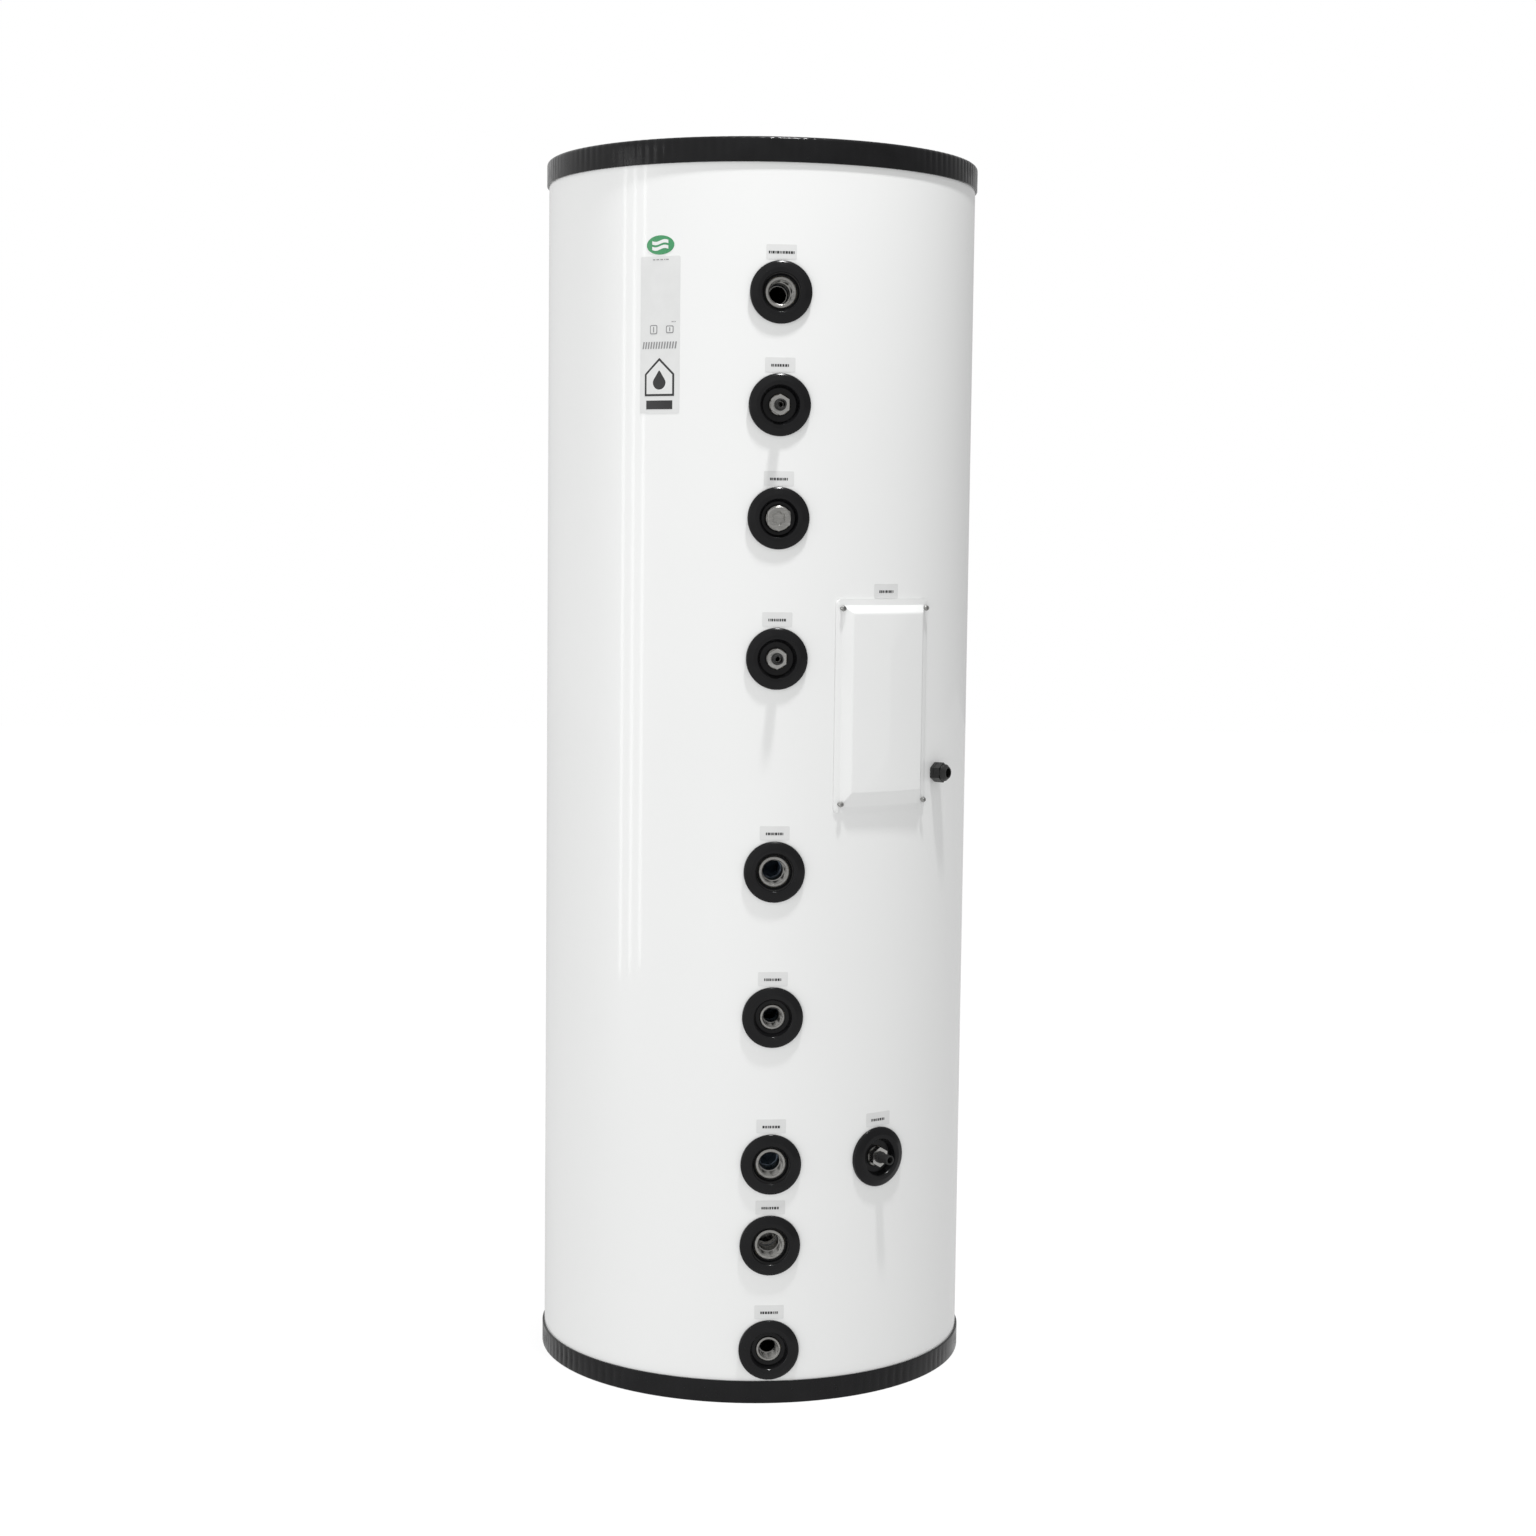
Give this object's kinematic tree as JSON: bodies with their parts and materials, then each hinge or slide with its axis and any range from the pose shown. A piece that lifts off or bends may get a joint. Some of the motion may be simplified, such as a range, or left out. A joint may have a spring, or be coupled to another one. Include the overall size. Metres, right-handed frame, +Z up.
{
  "type": "tank water heater",
  "caption": "Tall cylindrical insulated hot water tank with a white jacket, black end caps, a column of threaded ports in black rosettes and a removable access cover.",
  "frame": {"origin": "centre of the underside of the base tray, on the tank's axis", "axes": "+Z up along the tank's axis, the port column faces -Y, the access cover is turned 30 degrees from it towards +X"},
  "size_m": [0.606, 0.6312, 1.688],
  "materials": {
    "enamelled_steel": "satin",
    "black_steel": "satin",
    "coil_steel": "satin",
    "zinc_steel": "satin",
    "stainless": "satin",
    "foam": "matte",
    "white_paint": "gloss",
    "black_plastic": "gloss",
    "black_nylon": "satin",
    "rubber": "matte",
    "magnesium": "matte",
    "brass": "satin",
    "heater_sheath": "satin",
    "thermostat_plastic": "satin",
    "knob_plastic": "satin",
    "red_plastic": "gloss",
    "terminal_plastic": "satin",
    "wire_sleeving": "satin",
    "galvanised": "satin",
    "white_cover": "gloss",
    "dark_screw": "satin",
    "label_film": "satin",
    "badge_green": "gloss"
  },
  "bodies": {
    "tank": {"inner_shell": "enamelled_steel", "top_head": "enamelled_steel", "bottom_head": "enamelled_steel", "foot_ring": "black_steel", "heating_coil": "coil_steel", "coil_brackets": "coil_steel", "hot_outlet_dip_pipe": "stainless", "cold_inlet_diffuser": "stainless", "side_insulation": "foam", "end_insulation": "foam", "outer_jacket": "white_paint", "top_cap": "black_plastic", "base_tray": "black_plastic", "hot_outlet_socket": "zinc_steel", "upper_sensor_socket": "zinc_steel", "anode_socket": "zinc_steel", "middle_sensor_socket": "zinc_steel", "coil_flow_socket": "zinc_steel", "recirculation_socket": "zinc_steel", "coil_return_socket": "zinc_steel", "cold_inlet_socket": "zinc_steel", "drain_socket": "zinc_steel", "lower_sensor_socket": "zinc_steel", "hot_outlet_rosette": "black_plastic", "upper_sensor_rosette": "black_plastic", "anode_rosette": "black_plastic", "middle_sensor_rosette": "black_plastic", "coil_flow_rosette": "black_plastic", "recirculation_rosette": "black_plastic", "coil_return_rosette": "black_plastic", "cold_inlet_rosette": "black_plastic", "drain_rosette": "black_plastic", "lower_sensor_rosette": "black_plastic", "upper_sensor_pocket": "stainless", "middle_sensor_pocket": "stainless", "lower_sensor_pocket": "stainless", "sensor_sleeves": "rubber", "heater_socket": "zinc_steel", "heater_head": "brass", "heater_elements": "heater_sheath", "heater_seal": "rubber", "thermostat_body": "thermostat_plastic", "terminal_block": "terminal_plastic", "terminal_screws": "brass", "wiring": "wire_sleeving", "service_well": "galvanised", "gland_body": "black_nylon", "gland_seal": "rubber", "gland_locknut": "black_nylon", "port_labels": "label_film", "rating_plate": "label_film", "badge": "badge_green"},
    "cover": {"access_cover": "white_cover", "cover_screws": "dark_screw"},
    "anode": {"anode_plug": "zinc_steel", "anode_rod": "magnesium", "anode_seal": "rubber"},
    "knob": {"thermostat_knob": "knob_plastic"},
    "button": {"reset_button": "red_plastic"},
    "nut": {"gland_nut": "black_nylon"}
  },
  "joints": [
    {"name": "cover_release", "type": "slide", "parent": "tank", "child": "cover", "axis": [0.5, -0.866, 0], "range_m": [0, 0.14]},
    {"name": "thermostat_turn", "type": "hinge", "parent": "tank", "child": "knob", "pos_m": [0.12245, -0.25609, 1.011], "axis": [0.5, -0.866, 0], "range_deg": [-135, 135]},
    {"name": "reset_press", "type": "slide", "parent": "tank", "child": "button", "axis": [-0.5, 0.866, 0], "range_m": [0, 0.0025], "stiffness_N_per_m": 300, "springref_m": -0.001},
    {"name": "gland_nut_turn", "type": "hinge", "parent": "tank", "child": "nut", "pos_m": [0.2413, -0.20248, 0.85], "axis": [0.766, -0.6428, 0], "range_deg": [0, 360]},
    {"name": "anode_withdraw", "type": "slide", "parent": "tank", "child": "anode", "axis": [0, -1, 0], "range_m": [0, 0.36]}
  ]
}
